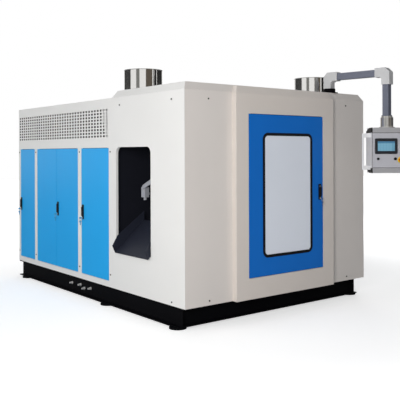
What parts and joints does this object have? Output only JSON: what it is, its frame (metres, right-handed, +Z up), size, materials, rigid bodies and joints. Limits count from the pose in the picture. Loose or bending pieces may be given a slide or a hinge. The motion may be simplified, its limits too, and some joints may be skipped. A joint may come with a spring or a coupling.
{
  "type": "blow moulding machine",
  "caption": "Enclosed extrusion blow moulding machine with windowed front door, discharge chute, blue cabinet doors, roof exhaust stacks and a control panel on a swivel arm",
  "frame": {"origin": "middle of the whole machine's box on the floor, feet at z = 0", "axes": "+X to the right seen from the front door, +Y from the front door to the rear cabinet, +Z up"},
  "size_m": [2.3654, 4.0148, 2.26],
  "materials": {
    "black_paint": "semi-gloss black enamel",
    "steel": "bright machined steel",
    "frame_paint": "machine grey enamel",
    "white_paint": "fine-textured warm white powder coat",
    "chute_paint": "satin dark blue-grey enamel",
    "cast_grey": "light grey painted casting",
    "polished_steel": "mirror-polished stainless sheet",
    "blue_paint": "satin blue powder coat",
    "rubber": "matt black sealing profile",
    "window_pane": "frosted polycarbonate",
    "black_plastic": "black moulded plastic",
    "arm_black": "black cast swivel base",
    "tube_paint": "dark blue-grey powder coat",
    "aluminium": "silver anodised aluminium",
    "plate_grey": "satin grey front plate",
    "screen": "glossy display in a grey bezel",
    "yellow_plastic": "yellow plastic",
    "red_plastic": "red plastic",
    "lamp_plastic": "translucent pale plastic"
  },
  "bodies": {
    "machine": {"base_frame": "black_paint", "levelling_feet": "black_paint", "water_couplings": "steel", "body_frame": "frame_paint", "flank_panel_left": "white_paint", "flank_panel_right": "white_paint", "front_panels": "white_paint", "door_surround": "white_paint", "enclosure_roof": "white_paint", "bulkhead": "white_paint", "discharge_chute": "chute_paint", "pneumatic_unit": "cast_grey", "cabinet_face": "white_paint", "grille_panel": "white_paint", "cabinet_panels": "white_paint", "exhaust_stacks": "polished_steel", "panel_screws": "steel", "door_pivots": "steel", "arm_base": "arm_black", "machine_bed": "frame_paint", "tie_bars": "steel", "die_head": "steel", "extruder": "chute_paint", "blow_cylinder": "steel", "hydraulic_unit": "frame_paint"},
    "front_leaf": {"front_door": "blue_paint", "door_seal": "rubber", "door_window": "window_pane", "front_lock_body": "black_plastic"},
    "front_spindle": {"front_lock_spindle": "steel"},
    "front_lever": {"front_lock_lever": "black_plastic"},
    "leaf_front": {"cabinet_door_front": "blue_paint", "cabinet_lock_body_front": "black_plastic"},
    "handle_front": {"cabinet_lock_handle_front": "black_plastic"},
    "leaf_double_front": {"double_door_front": "blue_paint", "double_lock_body": "black_plastic"},
    "handle_double": {"double_lock_handle": "black_plastic"},
    "leaf_double_rear": {"double_door_rear": "blue_paint"},
    "leaf_rear": {"cabinet_door_rear": "blue_paint", "cabinet_lock_body_rear": "black_plastic"},
    "handle_rear": {"cabinet_lock_handle_rear": "black_plastic"},
    "arm": {"arm_castings": "cast_grey", "arm_tubes": "tube_paint"},
    "panel": {"panel_collar": "aluminium", "panel_case": "aluminium", "panel_corner_caps": "black_plastic", "panel_front_plate": "plate_grey", "panel_handles": "aluminium", "panel_screen": "screen", "stop_housing": "yellow_plastic"},
    "stop": {"stop_button": "red_plastic"},
    "selector": {"mode_selector": "black_plastic"},
    "start": {"start_button": "black_plastic"},
    "lamp_lower": {"lamp_button_lower": "lamp_plastic"},
    "lamp_upper": {"lamp_button_upper": "lamp_plastic"},
    "clamp_left": {"platen_left": "frame_paint", "mould_left": "aluminium"},
    "clamp_right": {"platen_right": "frame_paint", "mould_right": "aluminium"},
    "pin": {"blow_pin": "steel"}
  },
  "joints": [
    {"name": "front_door_swing", "type": "hinge", "parent": "machine", "child": "front_leaf", "pos_m": [-0.46625, -1.36209, 1.076], "axis": [0, 0, 1], "range_deg": [-105, 0]},
    {"name": "front_lock_turn", "type": "hinge", "parent": "front_leaf", "child": "front_spindle", "pos_m": [0.42925, -1.36859, 1.141], "axis": [0, 1, 0], "range_deg": [0, 90]},
    {"name": "front_lever_lift", "type": "hinge", "parent": "front_spindle", "child": "front_lever", "pos_m": [0.42925, -1.38059, 1.141], "axis": [-1, 0, 0], "range_deg": [0, 30]},
    {"name": "cabinet_door_front_swing", "type": "hinge", "parent": "machine", "child": "leaf_front", "pos_m": [-1.12225, -0.09409, 0.85], "axis": [0, 0, 1], "range_deg": [0, 90]},
    {"name": "handle_front_turn", "type": "hinge", "parent": "leaf_front", "child": "handle_front", "pos_m": [-1.12875, 0.40741, 0.92], "axis": [-1, 0, 0], "range_deg": [0, 90]},
    {"name": "double_door_front_swing", "type": "hinge", "parent": "machine", "child": "leaf_double_front", "pos_m": [-1.12225, 0.52691, 0.85], "axis": [0, 0, 1], "range_deg": [0, 90]},
    {"name": "handle_double_turn", "type": "hinge", "parent": "leaf_double_front", "child": "handle_double", "pos_m": [-1.12875, 0.96891, 0.92], "axis": [-1, 0, 0], "range_deg": [0, 90]},
    {"name": "cabinet_door_rear_swing", "type": "hinge", "parent": "machine", "child": "leaf_rear", "pos_m": [-1.12225, 1.57091, 0.85], "axis": [0, 0, 1], "range_deg": [0, 90]},
    {"name": "handle_rear_turn", "type": "hinge", "parent": "leaf_rear", "child": "handle_rear", "pos_m": [-1.12875, 1.93041, 0.92], "axis": [-1, 0, 0], "range_deg": [0, 90]},
    {"name": "double_door_rear_swing", "type": "hinge", "parent": "machine", "child": "leaf_double_rear", "pos_m": [-1.12225, 1.48491, 0.85], "axis": [0, 0, 1], "range_deg": [-90, 0]},
    {"name": "arm_swivel", "type": "hinge", "parent": "machine", "child": "arm", "pos_m": [0.76025, -1.20759, 2.1], "axis": [0, 0, 1], "range_deg": [-40, 25]},
    {"name": "panel_swivel", "type": "hinge", "parent": "arm", "child": "panel", "pos_m": [0.86704, -1.81325, 1.75], "axis": [0, 0, 1], "range_deg": [-90, 90]},
    {"name": "stop_press", "type": "slide", "parent": "panel", "child": "stop", "axis": [0.6174, 0.7866, 0], "range_m": [0, 0.004], "stiffness_N_per_m": 400},
    {"name": "selector_turn", "type": "hinge", "parent": "panel", "child": "selector", "pos_m": [0.846, -1.91941, 1.405], "axis": [0.6174, 0.7866, 0], "range_deg": [-45, 45]},
    {"name": "start_press", "type": "slide", "parent": "panel", "child": "start", "axis": [0.6174, 0.7866, 0], "range_m": [0, 0.003], "stiffness_N_per_m": 300},
    {"name": "lamp_lower_press", "type": "slide", "parent": "panel", "child": "lamp_lower", "axis": [0.6174, 0.7866, 0], "range_m": [0, 0.003], "stiffness_N_per_m": 300},
    {"name": "lamp_upper_press", "type": "slide", "parent": "panel", "child": "lamp_upper", "axis": [0.6174, 0.7866, 0], "range_m": [0, 0.003], "stiffness_N_per_m": 300},
    {"name": "clamp_left_close", "type": "slide", "parent": "machine", "child": "clamp_left", "axis": [1, 0, 0], "range_m": [0, 0.094]},
    {"name": "clamp_right_close", "type": "slide", "parent": "machine", "child": "clamp_right", "axis": [1, 0, 0], "range_m": [-0.094, 0]},
    {"name": "pin_rise", "type": "slide", "parent": "machine", "child": "pin", "axis": [0, 0, 1], "range_m": [0, 0.11]}
  ],
  "couplings": [
    {"joint": "clamp_right_close", "follows": "clamp_left_close", "ratio": -1}
  ]
}
